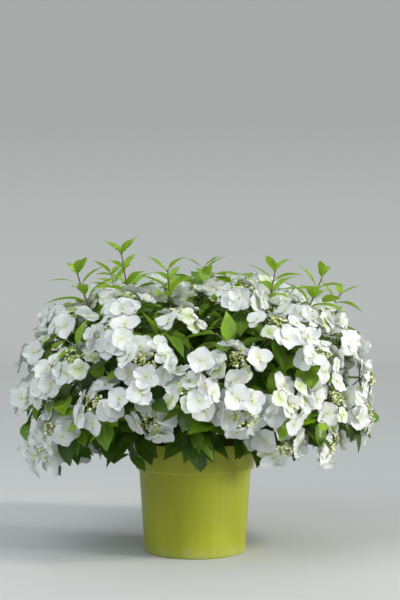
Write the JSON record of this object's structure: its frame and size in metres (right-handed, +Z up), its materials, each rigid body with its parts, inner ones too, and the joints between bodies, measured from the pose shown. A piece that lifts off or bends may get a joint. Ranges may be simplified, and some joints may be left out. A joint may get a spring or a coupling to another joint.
{
  "type": "potted hydrangea shrub",
  "caption": "Low, wide hydrangea shrub with arching boughs, paired leaves and flat heads of white flowers, in a tapered round plastic pot with a deep rim band.",
  "frame": {"origin": "centre of the pot's flat underside", "axes": "+Z up along the pot's axis, -Y towards the side that the picture shows, +X to the right in the picture"},
  "size_m": [0.6664, 0.6214, 0.5773],
  "materials": {
    "pot_plastic": "satin moulded olive-lime plastic",
    "compost": "dark, crumbly and damp",
    "bark": "thin, pale brown bark",
    "foliage": "leaves and white flowers together",
    "leaf": "dark green leaf with a soft gloss",
    "young_leaf": "fresh light green leaf",
    "petal": "soft white petal",
    "flower_bud": "small green-cream buds",
    "twig": "green to reddish-brown young stem"
  },
  "bodies": {
    "root": {"pot": "pot_plastic", "compost": "compost", "stock": "bark", "bough_skirt_1": "bark", "bough_skirt_2": "bark", "bough_skirt_3": "bark", "bough_skirt_4": "bark", "bough_skirt_5": "bark", "bough_skirt_6": "bark", "bough_skirt_7": "bark", "bough_skirt_8": "bark", "bough_shoulder_1": "bark", "bough_shoulder_2": "bark", "bough_shoulder_3": "bark", "bough_shoulder_4": "bark", "bough_shoulder_5": "bark", "bough_top_1": "bark", "foliage_skirt_1": "foliage", "foliage_skirt_2": "foliage", "foliage_skirt_3": "foliage", "foliage_skirt_4": "foliage", "foliage_skirt_5": "foliage", "foliage_skirt_6": "foliage", "foliage_skirt_7": "foliage", "foliage_skirt_8": "foliage", "foliage_shoulder_1": "foliage", "foliage_shoulder_2": "foliage", "foliage_shoulder_3": "foliage", "foliage_shoulder_4": "foliage", "foliage_shoulder_5": "foliage", "foliage_top_1": "foliage"}
  },
  "joints": []
}
